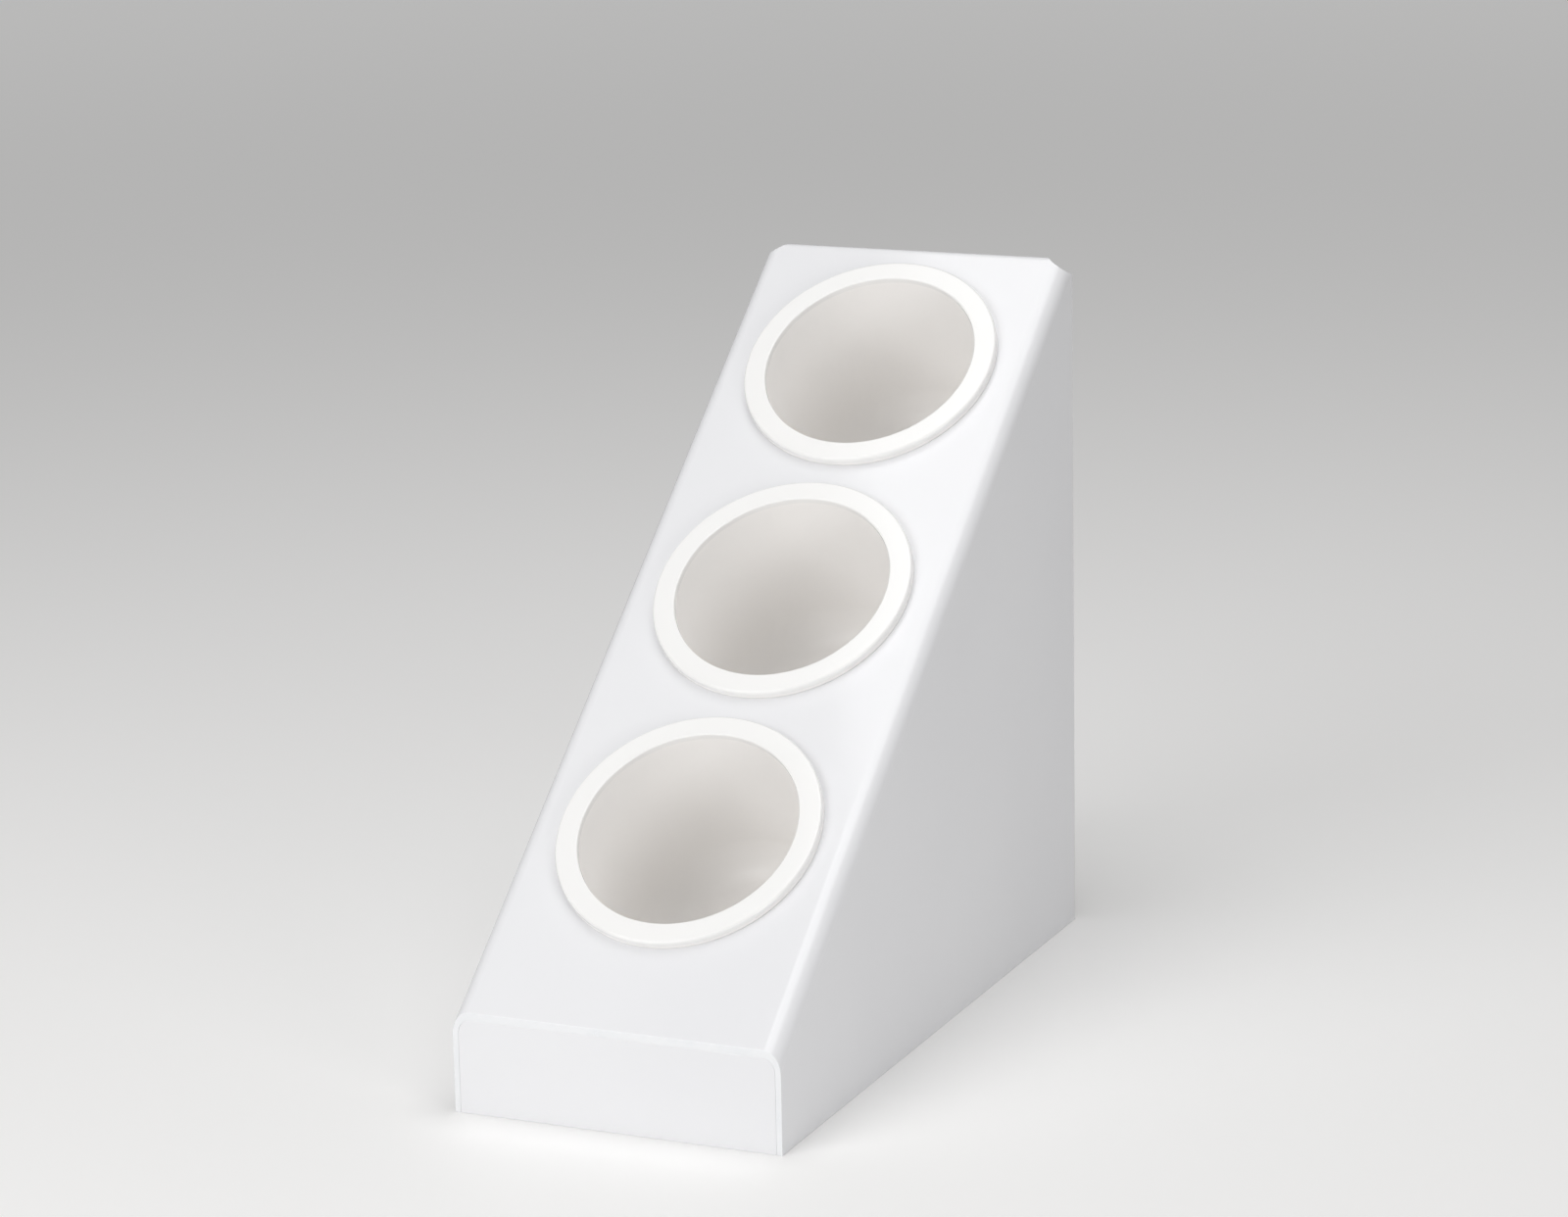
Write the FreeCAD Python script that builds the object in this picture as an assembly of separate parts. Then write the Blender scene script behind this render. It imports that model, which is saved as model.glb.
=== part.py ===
import FreeCAD, Part
import math
import os

# Cutlery dispenser: a wedge stand bent from one sheet of white acrylic,
# with a glued front plate and three loose round containers in its sloping face.
# Millimetres. +X right, +Y back, +Z up, z = 0 on the table.

# Stand
stand_width = 230.0
stand_depth = 524.0
front_height = 68.2
slope_angle = 38.82
sheet_thickness = 4.0
side_bend_radius = 12.0
top_bend_radius = 6.0
back_lip_height = 38.0
back_lip_side_gap = 0.5
relief_hole_radius = 11.0
cut_edge_chamfer = 0.4

# Containers, measured along their own axis, which is square to the sloping face
container_count = 3
first_container_distance = 154.3
container_spacing = 200.6
mouth_radius = 74.9
rim_radius = 90.2
rim_thickness = 6.5
rim_outer_round = 1.8
rim_inner_round = 1.0
rim_steps = 3
container_wall = 3.0
container_draft = 1.2
container_depth = 136.0
floor_thickness = 4.0
inner_corner_radius = 25.0
corner_steps = 2
hole_clearance = 1.0

# Directions of the sloping face in the side view
slope = math.radians(slope_angle)
draft = math.radians(container_draft)
up_slope = FreeCAD.Vector(0, math.cos(slope), math.sin(slope))
face_normal = FreeCAD.Vector(0, -math.sin(slope), math.cos(slope))
side_direction = FreeCAD.Vector(1, 0, 0)
half_width = stand_width / 2
neck_radius = mouth_radius + container_wall
hole_radius = neck_radius + hole_clearance
outer_corner_radius = inner_corner_radius + container_wall


def corner_centre(wall_at_rim, radius, level):
    """Centre of a round corner between a drafted wall and a level floor."""
    height = level + radius
    return FreeCAD.Vector(wall_at_rim + height * math.tan(draft) - radius / math.cos(draft), 0, height)


def corner_points(centre, radius, start_angle, end_angle, steps):
    """Corners of the flats that touch a round bend at equal steps, its two ends included."""
    step_angle = (end_angle - start_angle) / steps
    reach = radius / math.cos(step_angle / 2)
    points = []
    for step in range(steps):
        angle = start_angle + step_angle * (step + 0.5)
        points.append(centre + FreeCAD.Vector(math.cos(angle), 0, math.sin(angle)) * reach)
    return points


# The highest container reaches out through the open back, so the middle of
# the whole object lies a little behind the middle of the stand.
foot_corner = corner_points(
    corner_centre(neck_radius, outer_corner_radius, -container_depth),
    outer_corner_radius, -draft, -math.pi / 2, corner_steps)
last_container_distance = first_container_distance + (container_count - 1) * container_spacing
container_back = max(
    (last_container_distance + point.x) * math.cos(slope) - point.z * math.sin(slope)
    for point in foot_corner)
overall_depth = max(stand_depth, container_back)
front_y = -overall_depth / 2
back_y = front_y + stand_depth


def face_point(distance, across=0.0, below=0.0):
    """Point a distance up the slope from the front edge of the sloping face."""
    start = FreeCAD.Vector(across, front_y, front_height)
    return start + up_slope * distance - face_normal * below


# Where the flat of the face ends and its top bend begins
face_end = (stand_depth / math.cos(slope)
            - top_bend_radius / math.tan((math.pi / 2 - slope) / 2))
top_bend_turn = math.pi / 2 + slope
top_bend_centre = face_point(face_end, below=top_bend_radius)


def arc(start, middle, end):
    return Part.Arc(start, middle, end).toShape()


def line(start, end):
    return Part.LineSegment(start, end).toShape()


def bent_channel(inset, start, end):
    """Solid under the sloping face and between the sides, with rounded bends."""
    radius = side_bend_radius - inset
    side = half_width - inset
    leg = stand_depth

    def section(across, below):
        return face_point(start, across, below + inset)

    diagonal = radius * (1 - math.sqrt(0.5))
    edges = [
        line(section(-side, leg), section(-side, radius)),
        arc(section(-side, radius), section(-side + diagonal, diagonal), section(-side + radius, 0)),
        line(section(-side + radius, 0), section(side - radius, 0)),
        arc(section(side - radius, 0), section(side - diagonal, diagonal), section(side, radius)),
        line(section(side, radius), section(side, leg)),
        line(section(side, leg), section(-side, leg)),
    ]
    return Part.Face(Part.Wire(edges)).extrude(up_slope * (end - start))


def stand_envelope():
    """Block between the table, the front plane and the back plane."""
    height = front_height + stand_depth
    corner = FreeCAD.Vector(-half_width, front_y, 0)
    return Part.makeBox(stand_width, stand_depth, height, corner)


def top_bend_and_lip():
    """Sheet that turns over the top edge and hangs down as a lip at the back."""
    across = half_width - sheet_thickness - back_lip_side_gap
    inner_radius = top_bend_radius - sheet_thickness
    lip_bottom = top_bend_centre.z + top_bend_radius - back_lip_height

    def on_bend(radius, turn):
        outward = face_normal * math.cos(turn) + up_slope * math.sin(turn)
        point = top_bend_centre + outward * radius
        return FreeCAD.Vector(-across, point.y, point.z)

    def on_lip(offset):
        return FreeCAD.Vector(-across, back_y - offset, lip_bottom)

    outer_start = on_bend(top_bend_radius, 0)
    outer_end = on_bend(top_bend_radius, top_bend_turn)
    inner_start = on_bend(inner_radius, 0)
    inner_end = on_bend(inner_radius, top_bend_turn)
    edges = [
        arc(outer_start, on_bend(top_bend_radius, top_bend_turn / 2), outer_end),
        line(outer_end, on_lip(0)),
        line(on_lip(0), on_lip(sheet_thickness)),
        line(on_lip(sheet_thickness), inner_end),
        arc(inner_end, on_bend(inner_radius, top_bend_turn / 2), inner_start),
        line(inner_start, outer_start),
    ]
    return Part.Face(Part.Wire(edges)).extrude(side_direction * (2 * across))


def relief_hole(side):
    """Round hole where the top bend meets a side bend, drilled before bending."""
    middle = side_bend_radius * (1 - math.sqrt(0.5))
    centre = face_point(face_end + top_bend_radius * top_bend_turn / 2, side * (half_width - middle), middle)
    outward = face_normal + side_direction * side
    outward.normalize()
    reach = 2 * side_bend_radius
    return Part.makeCylinder(relief_hole_radius, 2 * reach, centre - outward * reach, outward)


def container_distance(index):
    return first_container_distance + index * container_spacing


def stand_shell():
    """Sloping face, two sides and back lip, all one bent sheet."""
    beyond = stand_depth / math.cos(slope) + stand_depth
    outside = bent_channel(0, -stand_depth, beyond)
    inside = bent_channel(sheet_thickness, -stand_depth, beyond)
    shell = outside.cut(inside).common(stand_envelope())
    lip_half = half_width - sheet_thickness - back_lip_side_gap
    face_tail = Part.makeBox(
        2 * lip_half, stand_depth, 4 * side_bend_radius,
        FreeCAD.Vector(-lip_half, 0, -2 * side_bend_radius),
    )
    face_tail.Placement = FreeCAD.Placement(
        face_point(face_end), FreeCAD.Rotation(side_direction, slope_angle)
    )
    shell = shell.cut(face_tail).fuse(top_bend_and_lip())
    for side in (-1, 1):
        shell = shell.cut(relief_hole(side))
    for index in range(container_count):
        start = face_point(container_distance(index), below=2 * sheet_thickness)
        shell = shell.cut(Part.makeCylinder(hole_radius, 4 * sheet_thickness, start, face_normal))
    return shell.removeSplitter()


def front_plate():
    """Flat plate glued inside the bent sheet, flush with its front edge."""
    beyond = stand_depth / 2
    inside = bent_channel(sheet_thickness, -beyond, beyond)
    corner = FreeCAD.Vector(-half_width, front_y, 0)
    slab = Part.makeBox(stand_width, sheet_thickness, stand_depth, corner)
    plate = slab.common(inside).removeSplitter()
    front_edges = [
        edge for edge in plate.Edges
        if abs(edge.BoundBox.YMax - front_y) < 1e-6 and edge.BoundBox.ZMax > 1e-6
    ]
    return plate.makeChamfer(cut_edge_chamfer, front_edges)


def profile_edge(start, end):
    """Straight edge of the profile, kept as a spline where it slopes so that it turns into few faces."""
    edge = line(start, end)
    level = abs(start.z - end.z) < 1e-6
    upright = abs(start.x - end.x) < 1e-6
    return edge if level or upright else edge.toNurbs().Edges[0]


def container():
    """Round container standing on its axis, with the underside of its rim at z = 0."""
    top = rim_thickness
    base = -container_depth
    floor = base + floor_thickness

    def point(radius, height):
        return FreeCAD.Vector(radius, 0, height)

    inner_corner = corner_points(
        corner_centre(mouth_radius, inner_corner_radius, floor),
        inner_corner_radius, -math.pi / 2, -draft, corner_steps)
    rim_corner = corner_points(
        point(rim_radius - rim_outer_round, top - rim_outer_round),
        rim_outer_round, math.pi / 2, 0, rim_steps)
    points = [
        point(0, floor),
        *inner_corner,
        point(mouth_radius, top - rim_inner_round),
        point(mouth_radius + rim_inner_round, top),
        *rim_corner,
        point(rim_radius, 0),
        point(neck_radius, 0),
        *foot_corner,
        point(0, base),
    ]
    edges = [profile_edge(*pair) for pair in zip(points, points[1:] + points[:1])]
    profile = Part.Face(Part.Wire(edges))
    return profile.revolve(FreeCAD.Vector(0, 0, 0), FreeCAD.Vector(0, 0, 1), 360)


def placed_container(index):
    solid = container()
    turn = FreeCAD.Rotation(side_direction, slope_angle)
    solid.Placement = FreeCAD.Placement(face_point(container_distance(index)), turn)
    return solid


def main():
    pieces = {
        "stand_shell": stand_shell(),
        "front_plate": front_plate(),
    }
    for index, place in enumerate(("lower", "middle", "upper")):
        pieces[place + "_container"] = placed_container(index)
    os.makedirs("parts", exist_ok=True)
    for name, shape in pieces.items():
        box = shape.BoundBox
        print(name, "solids", len(shape.Solids), "valid", shape.isValid(), "volume", round(shape.Volume),
              "y", round(box.YMin, 2), round(box.YMax, 2), "z", round(box.ZMin, 2), round(box.ZMax, 2))
        shape.exportStep("parts/" + name + ".step")


main()
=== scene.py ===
import bmesh
import bpy
import math
from mathutils import Euler, Matrix, Vector


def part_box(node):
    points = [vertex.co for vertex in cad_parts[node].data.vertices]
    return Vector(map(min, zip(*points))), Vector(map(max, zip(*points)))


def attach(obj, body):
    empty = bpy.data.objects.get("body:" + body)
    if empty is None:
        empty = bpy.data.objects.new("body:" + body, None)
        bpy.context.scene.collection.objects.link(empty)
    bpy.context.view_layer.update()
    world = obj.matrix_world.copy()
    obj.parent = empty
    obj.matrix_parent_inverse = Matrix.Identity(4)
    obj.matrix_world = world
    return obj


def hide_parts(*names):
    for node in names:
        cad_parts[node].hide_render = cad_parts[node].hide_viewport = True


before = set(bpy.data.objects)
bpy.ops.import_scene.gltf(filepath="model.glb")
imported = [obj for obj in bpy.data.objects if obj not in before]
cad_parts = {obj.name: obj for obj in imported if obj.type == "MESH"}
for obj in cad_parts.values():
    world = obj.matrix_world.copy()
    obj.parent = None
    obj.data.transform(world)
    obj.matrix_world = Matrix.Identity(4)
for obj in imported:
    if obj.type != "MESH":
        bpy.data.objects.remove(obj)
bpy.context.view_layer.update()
bpy.ops.object.select_all(action="DESELECT")
print("frame loaded")

mm = 0.001
touching = 1e-6      # metres within which two places count as the same
onRing = 1e-5      # the same for points of a many-sided round

# Sizes that several pieces share, in metres and degrees, as in the part's own source
stand = {
    "width": 230 * mm,
    "depth": 524 * mm,
    "frontHeight": 68.2 * mm,
    "slope": 38.82,
    "sheet": 4 * mm,
    "sideBend": 12 * mm,
    "topBend": 6 * mm,
    "lipHeight": 38 * mm,
    "lipSideGap": 0.5 * mm,
    "reliefHole": 11 * mm,
    "firstContainer": 154.3 * mm,
    "containerSpacing": 200.6 * mm,
    "holeRadius": 78.9 * mm,
}
containerPlaces = ("lower", "middle", "upper")
slope = math.radians(stand["slope"])
upSlope = Vector((0, math.cos(slope), math.sin(slope)))
faceNormal = Vector((0, -math.sin(slope), math.cos(slope)))
slopeTurn = Matrix.Rotation(slope, 4, "X")
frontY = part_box("front_plate")[0].y
backY = frontY + stand["depth"]
faceLength = stand["depth"] / math.cos(slope)
faceEnd = faceLength - stand["topBend"] / math.tan((math.pi / 2 - slope) / 2)
topTurn = math.pi / 2 + slope      # how far the sheet turns over the top edge
lipHalf = stand["width"] / 2 - stand["sheet"] - stand["lipSideGap"]


def facePoint(distance, across=0.0, below=0.0):
    frontEdge = Vector((across, frontY, stand["frontHeight"]))
    return frontEdge + upSlope * distance - faceNormal * below


def atFace(distance, across=0.0, below=0.0):      # x across, y up the slope, z out of the face
    return Matrix.Translation(facePoint(distance, across, below)) @ slopeTurn


def containerDistance(index):
    return stand["firstContainer"] + index * stand["containerSpacing"]


def deselectAll():
    if bpy.context.object and bpy.context.object.mode != "OBJECT":
        bpy.ops.object.mode_set(mode="OBJECT")
    bpy.ops.object.select_all(action="DESELECT")


def activate(obj):
    deselectAll()
    obj.select_set(True)
    bpy.context.view_layer.objects.active = obj
    return obj


def named(name):
    obj = bpy.context.object
    obj.name = obj.data.name = name
    return obj


def pick(obj, kind, test):      # selects the faces or edges for which test is true
    bpy.ops.object.mode_set(mode="EDIT")
    bpy.ops.mesh.select_mode(type=kind)
    bpy.ops.mesh.select_all(action="DESELECT")
    mesh = bmesh.from_edit_mesh(obj.data)
    for part in {"EDGE": mesh.edges, "FACE": mesh.faces}[kind]:
        if test(part):
            part.select_set(True)
    mesh.select_flush_mode()
    bmesh.update_edit_mesh(obj.data)


def finishEdit():      # joins doubled points and turns all faces outwards
    bpy.ops.object.mode_set(mode="EDIT")
    bpy.ops.mesh.select_all(action="SELECT")
    bpy.ops.mesh.remove_doubles(threshold=touching)
    bpy.ops.mesh.normals_make_consistent(inside=False)
    bpy.ops.object.mode_set(mode="OBJECT")


def applyModifier(obj, kind, **settings):
    activate(obj)
    bpy.ops.object.modifier_add(type=kind)
    modifier = obj.modifiers[-1]
    for name, value in settings.items():
        setattr(modifier, name, value)
    bpy.ops.object.modifier_apply(modifier=modifier.name)


def cutWith(obj, tool, operation="DIFFERENCE"):      # boolean, after which the tool is gone
    applyModifier(obj, "BOOLEAN", object=tool, operation=operation, solver="MANIFOLD")
    bpy.data.objects.remove(tool)


def joined(tools):      # several tools as one, so that they cut in one step
    deselectAll()
    for tool in tools:
        tool.select_set(True)
    bpy.context.view_layer.objects.active = tools[0]
    bpy.ops.object.join()
    return tools[0]


def trim(obj, point, normal):      # cuts at a plane, closes the cut and drops the side ahead
    activate(obj)
    bpy.ops.object.mode_set(mode="EDIT")
    bpy.ops.mesh.select_all(action="SELECT")
    bpy.ops.mesh.bisect(plane_co=point, plane_no=normal, use_fill=True, clear_outer=True,
                        threshold=1e-7)
    bpy.ops.object.mode_set(mode="OBJECT")


def turnTo(obj, matrix):      # puts a start shape in its place, with the place kept in its mesh
    activate(obj)
    obj.matrix_world = matrix @ obj.matrix_world
    bpy.ops.object.transform_apply(location=True, rotation=True, scale=True)
    return obj


edges = {      # angles in degrees
    "sharpFrom": 35,
    "smoothUpTo": 32,
    "normalWeight": 90,
    "segments": 2,
}


def smooth(obj):
    activate(obj)
    bpy.ops.object.shade_smooth_by_angle(angle=math.radians(edges["smoothUpTo"]))
    applyModifier(obj, "WEIGHTED_NORMAL", mode="FACE_AREA", weight=edges["normalWeight"],
                  keep_sharp=True)
    deselectAll()


def softenEdges(obj, width):
    applyModifier(obj, "BEVEL", width=width, segments=edges["segments"], limit_method="ANGLE",
                  angle_limit=math.radians(edges["sharpFrom"]), use_clamp_overlap=True,
                  miter_outer="MITER_ARC")


def paint(obj, slot, test):      # gives the faces for which test is true that material slot
    activate(obj)
    pick(obj, "FACE", test)
    obj.active_material_index = slot
    bpy.ops.object.material_slot_assign()
    bpy.ops.object.mode_set(mode="OBJECT")


class Value:      # one socket of a material, used like a number
    def __init__(self, tree, socket):
        self.tree = tree
        self.socket = socket

    def node(self, kind, settings=None, inputs=None, output=0):
        node = self.tree.nodes.new(kind)
        for name, value in (settings or {}).items():
            setattr(node, name, value)
        for name, value in (inputs or {}).items():
            if isinstance(value, Value):
                self.tree.links.new(value.socket, node.inputs[name])
            else:
                node.inputs[name].default_value = value
        return Value(self.tree, node.outputs[output])

    def maths(self, operation, first, second):
        return self.node("ShaderNodeMath", {"operation": operation}, {0: first, 1: second})

    def __add__(self, other):
        return self.maths("ADD", self, other)

    def __rsub__(self, other):
        return self.maths("SUBTRACT", other, self)

    def __mul__(self, other):
        return self.maths("MULTIPLY", self, other)

    __radd__ = __add__
    __rmul__ = __mul__

    def band(self, low, high):      # 0 below low, 1 above high, smooth between
        return self.node("ShaderNodeMapRange", {"interpolation_type": "SMOOTHSTEP"},
                         {"Value": self, "From Min": low, "From Max": high})

    def noise(self, scale, detail):
        return self.node("ShaderNodeTexNoise", None,
                         {"Vector": self, "Scale": scale, "Detail": detail})

    def bump(self, strength, distance):
        return self.node("ShaderNodeBump", None,
                         {"Height": self, "Strength": strength, "Distance": distance})

    def mixColour(self, first, second):
        return self.node("ShaderNodeMix", {"data_type": "RGBA"}, {0: self, 6: first, 7: second}, 2)


def newMaterial(name, constants):      # a Principled material and its Object coordinates
    material = bpy.data.materials.new(name)
    material.use_nodes = True
    tree = material.node_tree
    shader = tree.nodes["Principled BSDF"]
    for socket, value in constants.items():
        shader.inputs[socket].default_value = value
    place = tree.nodes.new("ShaderNodeTexCoord").outputs["Object"]
    return material, shader, Value(tree, place)


def feed(shader, socket, value):
    value.tree.links.new(value.socket, shader.inputs[socket])


acrylic = {
    "colour": (0.852, 0.853, 0.868, 1),
    "deepColour": (0.832, 0.833, 0.85, 1),
    "cloudScale": 5.0,
    "bending": 1.49,
    "roughness": 0.07,
    "wipeMarks": 0.05,
    "wipeTurn": 0.3,
    "wipeScale": (9, 60, 60),
    "ripple": 0.02,
    "rippleScale": 38.0,
    "rippleHeight": 2 * mm,
}


def whiteAcrylic():      # heat-bent opal sheet: even white, a faint ripple and dry wipe marks
    material, shader, place = newMaterial("whiteAcrylic", {"IOR": acrylic["bending"]})
    cloud = place.noise(acrylic["cloudScale"], 2.0).band(0.35, 0.75)
    feed(shader, "Base Color", cloud.mixColour(acrylic["colour"], acrylic["deepColour"]))
    stretched = place.node("ShaderNodeMapping", None, {
        "Vector": place, "Rotation": (slope, 0, acrylic["wipeTurn"]), "Scale": acrylic["wipeScale"]})
    wipes = stretched.noise(1.0, 5.0).band(0.45, 0.8)
    feed(shader, "Roughness", wipes * acrylic["wipeMarks"] + acrylic["roughness"])
    ripple = place.noise(acrylic["rippleScale"], 1.0)
    feed(shader, "Normal", ripple.bump(acrylic["ripple"], acrylic["rippleHeight"]))
    return material


cutEdge = {
    "colour": (0.878, 0.886, 0.9, 1),
    "sawnColour": (0.845, 0.858, 0.876, 1),
    "roughness": 0.16,
    "sawn": 0.22,
    "toothScale": 900.0,
    "toothBump": 0.08,
    "toothHeight": 0.4 * mm,
    "wornScale": 45.0,
}


def polishedEdge():      # cut and scraped edge of the same sheet, duller, with fine tool marks
    material, shader, place = newMaterial("polishedEdge", {"IOR": acrylic["bending"]})
    marks = place.noise(cutEdge["toothScale"], 3.0)
    worn = place.noise(cutEdge["wornScale"], 2.0).band(0.4, 0.7)
    feed(shader, "Base Color", worn.mixColour(cutEdge["colour"], cutEdge["sawnColour"]))
    feed(shader, "Roughness", marks * worn * cutEdge["sawn"] + cutEdge["roughness"])
    feed(shader, "Normal", marks.bump(cutEdge["toothBump"], cutEdge["toothHeight"]))
    return material


moulding = {
    "rimColour": (0.93, 0.924, 0.912, 1),
    # the inside colour is lighter than the rim's: painted light that brightens the shade in the hollow
    # of one white moulding
    "insidePaintedLightColour": (0.965, 0.948, 0.93, 1),
    "insideBelow": 1 * mm,
    "rimAbove": 4 * mm,
    "bending": 1.5,
    "rimRoughness": 0.12,
    "insideRoughness": 0.34,
    "flowScale": 14.0,
    "flowRoughness": 0.04,
    "grainScale": 260.0,
    "grainBump": 0.05,
    "grainHeight": 0.6 * mm,
    "rimGrain": 0.2,
}


def mouldedWhite(name, distance):      # glossy rim, and satin walls inside and below it, coloured lighter than the rim as painted fill light in their shade
    material, shader, place = newMaterial(name, {"IOR": moulding["bending"]})
    centre = tuple(facePoint(distance))
    turned = place.node("ShaderNodeVectorRotate", {"rotation_type": "X_AXIS"},
                        {"Vector": place, "Center": centre, "Angle": -slope})
    local = place.node("ShaderNodeVectorMath", {"operation": "SUBTRACT"}, {0: turned, 1: centre})
    height = place.node("ShaderNodeSeparateXYZ", None, {"Vector": local}, 2)
    inside = 1 - height.band(moulding["insideBelow"], moulding["rimAbove"])
    # painted light: the walls inside and below the rim get a lighter colour than the rim to brighten
    # their shade
    feed(shader, "Base Color", inside.mixColour(moulding["rimColour"], moulding["insidePaintedLightColour"]))
    flow = place.noise(moulding["flowScale"], 2.0).band(0.4, 0.75)
    gloss = inside * (moulding["insideRoughness"] - moulding["rimRoughness"]) + moulding["rimRoughness"]
    feed(shader, "Roughness", gloss + flow * moulding["flowRoughness"])
    grain = place.noise(moulding["grainScale"], 3.0)
    uneven = grain * (inside * (1 - moulding["rimGrain"]) + moulding["rimGrain"])
    feed(shader, "Normal", uneven.bump(moulding["grainBump"], moulding["grainHeight"]))
    return material


sheetWhite = whiteAcrylic()
edgeWhite = polishedEdge()
print("materials made")


channel = {
    "bendSegments": 16,
    "reach": 0.6,      # how far the start block goes beyond the stand
    "tailLength": 0.4,
    "tailHeight": 0.06,
    "lipSteps": 24,
    "reliefSides": 64,
    "reliefDrill": 0.06,
    "holeSides": 192,
    "holeDrill": 0.03,
    "edgeSoftness": 0.35 * mm,
    "cutDepth": 0.6 * mm,      # how near to a cut a face has to lie to belong to it
}


def channelBlock(name, inset):      # long block along the face, with its two upper edges rounded
    half = stand["width"] / 2 - inset
    reach = channel["reach"]
    length = faceLength + 2 * reach
    deselectAll()
    bpy.ops.mesh.primitive_cube_add(size=1)
    block = named(name)
    block.scale = (2 * half, length, reach)
    block.location = (0, length / 2 - reach, -inset - reach / 2)
    bpy.ops.object.transform_apply(location=True, rotation=True, scale=True)

    def isUpperSide(edge):
        first, second = (vertex.co for vertex in edge.verts)
        level = abs(first.z + inset) < touching and abs(second.z + inset) < touching
        return level and abs(first.x - second.x) < touching

    pick(block, "EDGE", isUpperSide)
    bpy.ops.mesh.bevel(offset=stand["sideBend"] - inset, offset_type="OFFSET",
                       segments=channel["bendSegments"], affect="EDGES", profile=0.5)
    bpy.ops.object.mode_set(mode="OBJECT")
    return turnTo(block, atFace(0))


def drillTool(radius, sides, length, matrix):
    deselectAll()
    bpy.ops.mesh.primitive_cylinder_add(vertices=sides, radius=radius, depth=length)
    return turnTo(named("drill"), matrix)


def tailTool():      # takes away the face beyond the top bend, between the sides
    deselectAll()
    bpy.ops.mesh.primitive_cube_add(size=1)
    tail = named("tail")
    tail.scale = (2 * lipHalf, channel["tailLength"], channel["tailHeight"])
    tail.location = (0, channel["tailLength"] / 2, 0)
    bpy.ops.object.transform_apply(location=True, rotation=True, scale=True)
    return turnTo(tail, atFace(faceEnd))


def lipTool():      # the strip that turns over the top edge and hangs down at the back
    deselectAll()
    bpy.ops.mesh.primitive_plane_add(size=1)
    lip = named("lip")
    lip.scale = (2 * lipHalf, stand["sheet"], 1)
    bpy.ops.object.transform_apply(location=False, rotation=False, scale=True)
    upright = Matrix.Rotation(math.pi / 2, 4, "X")
    lip.matrix_world = atFace(faceEnd, below=stand["sheet"] / 2) @ upright
    bpy.ops.object.transform_apply(location=True, rotation=True, scale=True)
    bpy.ops.object.mode_set(mode="EDIT")
    bpy.ops.mesh.select_all(action="SELECT")
    bpy.ops.mesh.spin(steps=channel["lipSteps"], angle=topTurn, axis=(1, 0, 0),
                      center=facePoint(faceEnd, below=stand["topBend"]))
    hang = stand["lipHeight"] - stand["topBend"]
    bpy.ops.mesh.extrude_region_move(TRANSFORM_OT_translate={"value": (0, 0, -hang)})
    finishEdit()
    return lip


def reliefDrills():      # where the top bend meets the side bends, square to the rounded corner
    middle = stand["sideBend"] * (1 - math.sqrt(0.5))
    halfTurn = stand["topBend"] * topTurn / 2
    drills = []
    for side in (-1, 1):
        corner = atFace(faceEnd + halfTurn, side * (stand["width"] / 2 - middle), middle)
        outward = corner @ Matrix.Rotation(side * math.pi / 4, 4, "Y")
        drills.append(drillTool(stand["reliefHole"], channel["reliefSides"],
                                channel["reliefDrill"], outward))
    return drills


def holeDrills():
    return [drillTool(stand["holeRadius"], channel["holeSides"], channel["holeDrill"],
                      atFace(containerDistance(index))) for index in range(len(containerPlaces))]


def holeDistances(place):      # how far a point of the face lies from the middle of each hole
    along = (place - facePoint(0)).dot(upSlope)
    return [math.hypot(along - containerDistance(index), place.x)
            for index in range(len(containerPlaces))]


def isCut(face):      # true on the sawn, drilled and polished edges of the sheet
    place, normal = face.calc_center_median(), face.normal
    near = channel["cutDepth"]
    cheek = stand["width"] / 2 - stand["sheet"]
    if abs(place.x) > cheek and place.y > backY - near and normal.y > 0.5:
        return True
    if place.y < frontY + near and normal.y < -0.5 or place.z < near and normal.z < -0.5:
        return True
    if abs(abs(place.x) - lipHalf) < near and abs(normal.x) > 0.7 and place.y > 0:
        return True
    inHole = any(away < stand["holeRadius"] + near for away in holeDistances(place))
    return inHole and abs(normal.dot(faceNormal)) < 0.5


def onHole(place):      # true on the edge line of a hole
    return any(abs(away - stand["holeRadius"]) < onRing for away in holeDistances(place))


def isOutline(edge):      # the sheet's sharp edges at the front, on the table and round the holes
    if edge.calc_face_angle(0) < math.radians(edges["sharpFrom"]):
        return False
    places = [vertex.co for vertex in edge.verts]
    atFront = all(abs(place.y - frontY) < touching for place in places)
    onTable = all(abs(place.z) < touching for place in places)
    return atFront or onTable or all(onHole(place) for place in places)


def makeShell():
    shell = channelBlock("bentSheet", 0)
    cutWith(shell, channelBlock("hollow", stand["sheet"]))
    trim(shell, (0, 0, 0), (0, 0, -1))
    trim(shell, (0, frontY, 0), (0, -1, 0))
    trim(shell, (0, backY, 0), (0, 1, 0))
    cutWith(shell, tailTool())
    cutWith(shell, lipTool(), "UNION")
    cutWith(shell, joined(reliefDrills() + holeDrills()))
    pick(shell, "EDGE", isOutline)
    bpy.ops.mesh.bevel(offset=channel["edgeSoftness"], segments=edges["segments"],
                       affect="EDGES", miter_outer="ARC")
    bpy.ops.object.mode_set(mode="OBJECT")
    shell.data.materials.clear()      # the cuts leave empty slots behind
    shell.data.materials.append(sheetWhite)
    shell.data.materials.append(edgeWhite)
    paint(shell, 0, lambda face: True)
    paint(shell, 1, isCut)
    smooth(shell)
    return shell


shell = makeShell()
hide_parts("stand_shell")
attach(shell, "stand")
print("bent sheet made")


plate = {
    "thickness": 4 * mm,
    "chamfer": 0.4 * mm,
}


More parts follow.
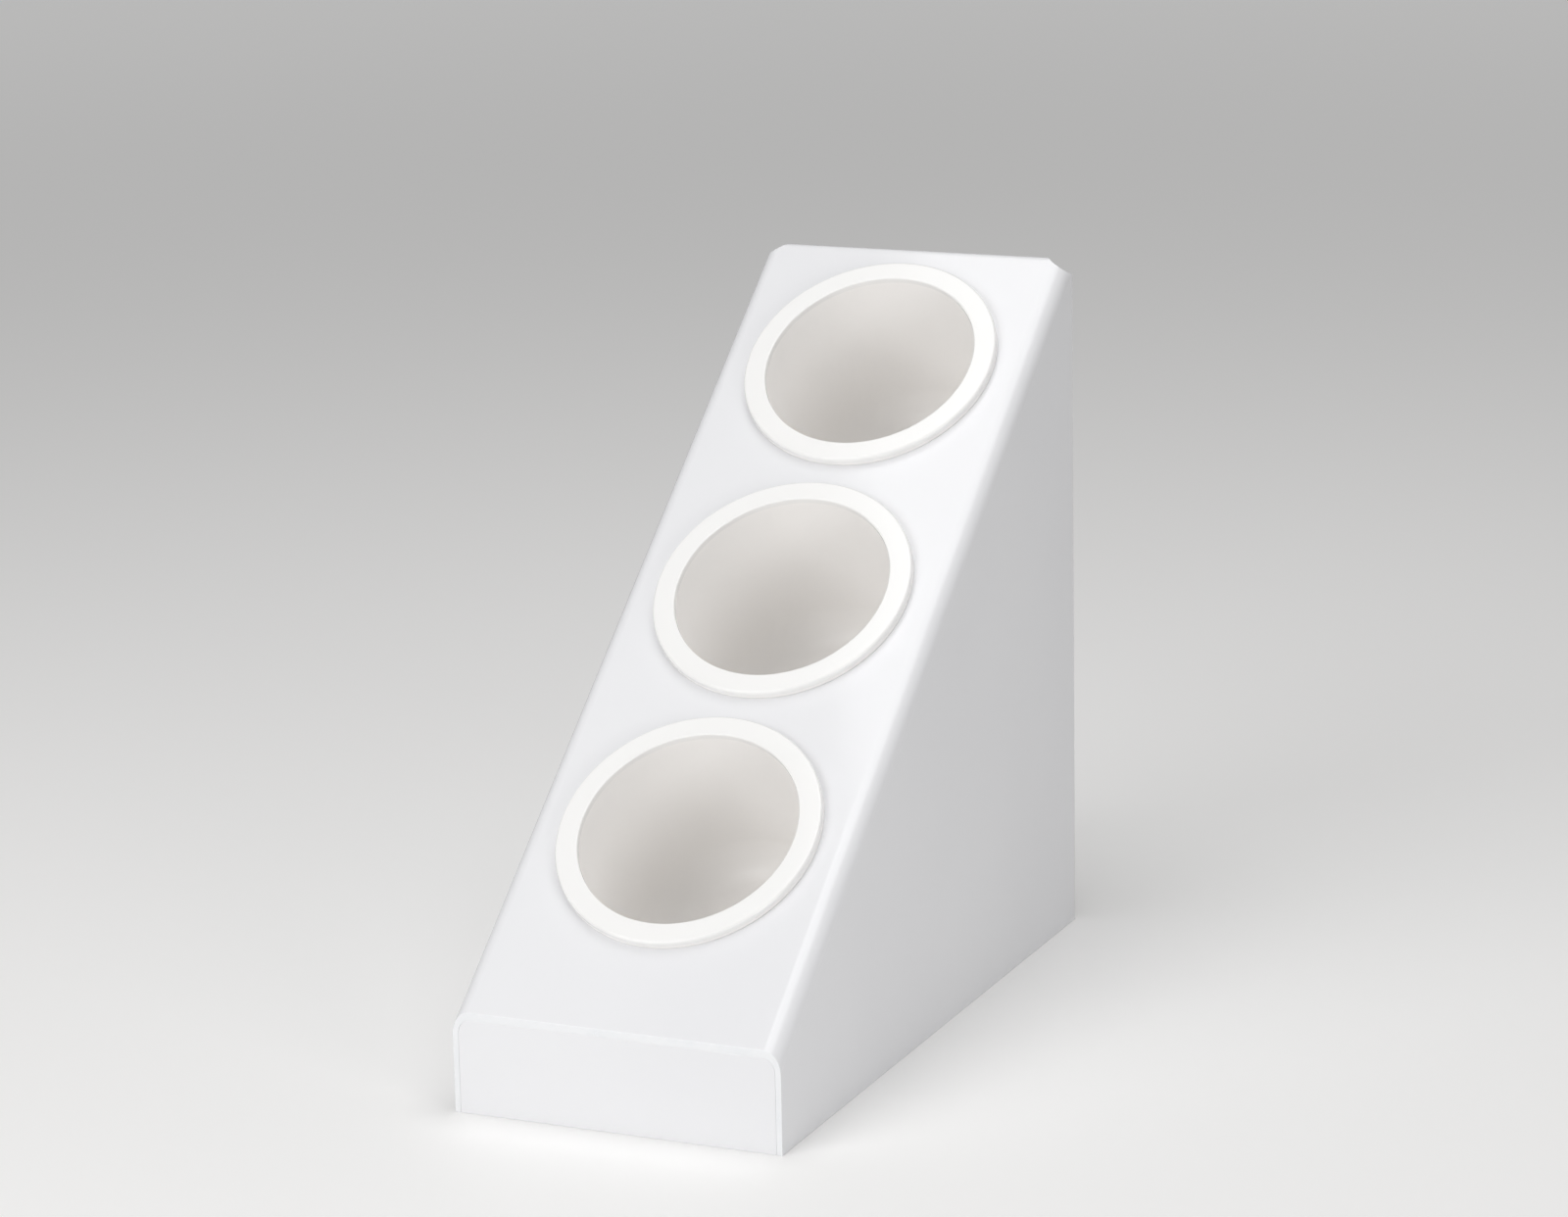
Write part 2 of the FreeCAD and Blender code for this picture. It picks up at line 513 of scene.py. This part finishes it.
def makePlate():      # fills the bent sheet's front, flush with its cut edge
    slab = channelBlock("frontPlate", stand["sheet"])
    trim(slab, (0, 0, 0), (0, 0, -1))
    trim(slab, (0, frontY, 0), (0, -1, 0))
    trim(slab, (0, frontY + plate["thickness"], 0), (0, 1, 0))
    softenEdges(slab, plate["chamfer"])
    slab.data.materials.append(sheetWhite)
    smooth(slab)
    return slab


frontPlate = makePlate()
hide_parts("front_plate")
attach(frontPlate, "stand")
print("front plate made")


container = {
    "sides": 192,
    "mouth": 74.9 * mm,
    "rim": 90.2 * mm,
    "rimThickness": 6.5 * mm,
    "rimRound": (1.8 * mm, 6),      # size and segments, as for the other rounds
    "mouthRound": (1 * mm, 5),
    "rimUnderRound": (0.5 * mm, 3),
    "wall": 3 * mm,
    "draft": 1.2,
    "depth": 136 * mm,
    "floor": 4 * mm,
    "floorRound": (25 * mm, 14),
}


def roundRing(cup, radius, height, size, segments):      # rounds the ring at that radius and height
    def isOnRing(edge):
        return all(abs(vertex.co.z - height) < onRing
                   and abs(math.hypot(vertex.co.x, vertex.co.y) - radius) < onRing
                   for vertex in edge.verts)

    pick(cup, "EDGE", isOnRing)
    bpy.ops.mesh.bevel(offset=size, offset_type="OFFSET", segments=segments, affect="EDGES")


def drawFace(along, factor):      # extrudes the picked face, moves it and draws it in
    bpy.ops.mesh.extrude_region_move(TRANSFORM_OT_translate={"value": (0, 0, along)})
    bpy.ops.transform.resize(value=(factor, factor, 1), center_override=(0, 0, 0))


def makeContainer():      # stands on its axis, with the underside of its rim at z = 0
    mouth, rim, top = container["mouth"], container["rim"], container["rimThickness"]
    wall, depth = container["wall"], container["depth"]
    draft = math.tan(math.radians(container["draft"]))
    neck = mouth + wall
    base = neck - depth * draft
    innerDepth = depth - container["floor"]
    innerBase = mouth - innerDepth * draft
    deselectAll()
    bpy.ops.mesh.primitive_cylinder_add(vertices=container["sides"], radius=rim, depth=top,
                                        location=(0, 0, top / 2))
    cup = named("containerStart")
    bpy.ops.object.transform_apply(location=True, rotation=True, scale=True)
    pick(cup, "FACE", lambda face: face.normal.z < -0.9)
    drawFace(0, neck / rim)
    drawFace(-depth, base / neck)
    pick(cup, "FACE", lambda face: face.normal.z > 0.9)
    drawFace(0, mouth / rim)
    drawFace(-(top + innerDepth), innerBase / mouth)
    floorSize, floorSegments = container["floorRound"]
    roundRing(cup, base, -depth, floorSize + wall, floorSegments)
    roundRing(cup, innerBase, -innerDepth, floorSize, floorSegments)
    roundRing(cup, rim, top, *container["rimRound"])
    roundRing(cup, mouth, top, *container["mouthRound"])
    roundRing(cup, rim, 0, *container["rimUnderRound"])
    finishEdit()
    return cup


def placeContainers():
    first = makeContainer()
    for index, place in enumerate(containerPlaces):
        activate(first)
        bpy.ops.object.duplicate(linked=False)
        cup = named(place + "Container")
        distance = containerDistance(index)
        turnTo(cup, atFace(distance))
        cup.data.materials.append(mouldedWhite(place + "Moulding", distance))
        smooth(cup)
        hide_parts(place + "_container")
        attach(cup, place)
    bpy.data.objects.remove(first)


placeContainers()
print("containers made")


studio = {
    "floorSize": 40,
    "floorColour": (0.925, 0.919, 0.912, 1),
    "floorRoughness": 0.6,
    "glowColour": (1, 1, 0.995, 1),
    "noGlow": (0, 0, 0, 1),
    "nearGlow": 0.065,
    "farGlow": 0.17,
    "farStart": 1.5,
    "farEnd": 7.0,
    "skyColour": (1, 1, 1, 1),
    "skyStrength": 0.245,
    "aim": (0, 0, 0.2),
    "lamps": {      # name: place, width and power
        "topLamp": ((0.3, -0.1, 3.6), 3.4, 63),
        "keyLamp": ((-1.05, -2.65, 1.25), 2.2, 36.5),
        "fillLamp": ((2.2, -1.6, 0.5), 1.2, 14),
    },
}


def makeFloor():
    deselectAll()
    bpy.ops.mesh.primitive_plane_add(size=studio["floorSize"])
    floor = named("floor")
    material, shader, place = newMaterial("paleFloor", {
        "Base Color": studio["floorColour"],
        "Roughness": studio["floorRoughness"],
        "Emission Strength": 1,
    })
    away = place.node("ShaderNodeVectorMath", {"operation": "LENGTH"}, {0: place}, 1)
    far = away.band(studio["farStart"], studio["farEnd"])
    seen = place.node("ShaderNodeLightPath")      # the floor is kept pale for the camera alone
    glow = (far * studio["farGlow"] + studio["nearGlow"]) * seen
    feed(shader, "Emission Color", glow.mixColour(studio["noGlow"], studio["glowColour"]))
    floor.data.materials.append(material)


def makeLamp(name, place, size, power):
    bpy.ops.object.light_add(type="AREA", location=place)
    lamp = bpy.context.object
    lamp.name = name
    lamp.data.shape = "DISK"
    lamp.data.size = size
    lamp.data.energy = power
    towards = Vector(studio["aim"]) - Vector(place)
    lamp.rotation_euler = towards.to_track_quat("-Z", "Y").to_euler()


def makeSky():
    world = bpy.data.worlds.new("studio")
    bpy.context.scene.world = world
    world.use_nodes = True
    background = world.node_tree.nodes["Background"]
    background.inputs["Color"].default_value = studio["skyColour"]
    background.inputs["Strength"].default_value = studio["skyStrength"]


view = {      # place in metres, from the middle of the front edge on the floor; angles in degrees
    "right": 1.25844,
    "before": 2.54371,
    "height": 1.03337,
    "turn": 24.0489,
    "tilt": 13.7297,
    "roll": -1.1176,
    "lens": 108.683,
    "sensor": 36,
}


def makeCamera():
    bpy.ops.object.camera_add(location=(view["right"], frontY - view["before"], view["height"]))
    camera = bpy.context.object
    tilt, turn, roll = (math.radians(view[name]) for name in ("tilt", "turn", "roll"))
    level = Euler((math.pi / 2 - tilt, 0, turn)).to_matrix()
    camera.rotation_euler = (level @ Matrix.Rotation(roll, 3, "Z")).to_euler()
    camera.data.lens = view["lens"]
    camera.data.sensor_width = view["sensor"]
    bpy.context.scene.camera = camera


makeFloor()
makeSky()
for lampName, lampValues in studio["lamps"].items():
    makeLamp(lampName, *lampValues)
makeCamera()
bpy.context.scene.view_settings.view_transform = "Standard"
print("studio made")
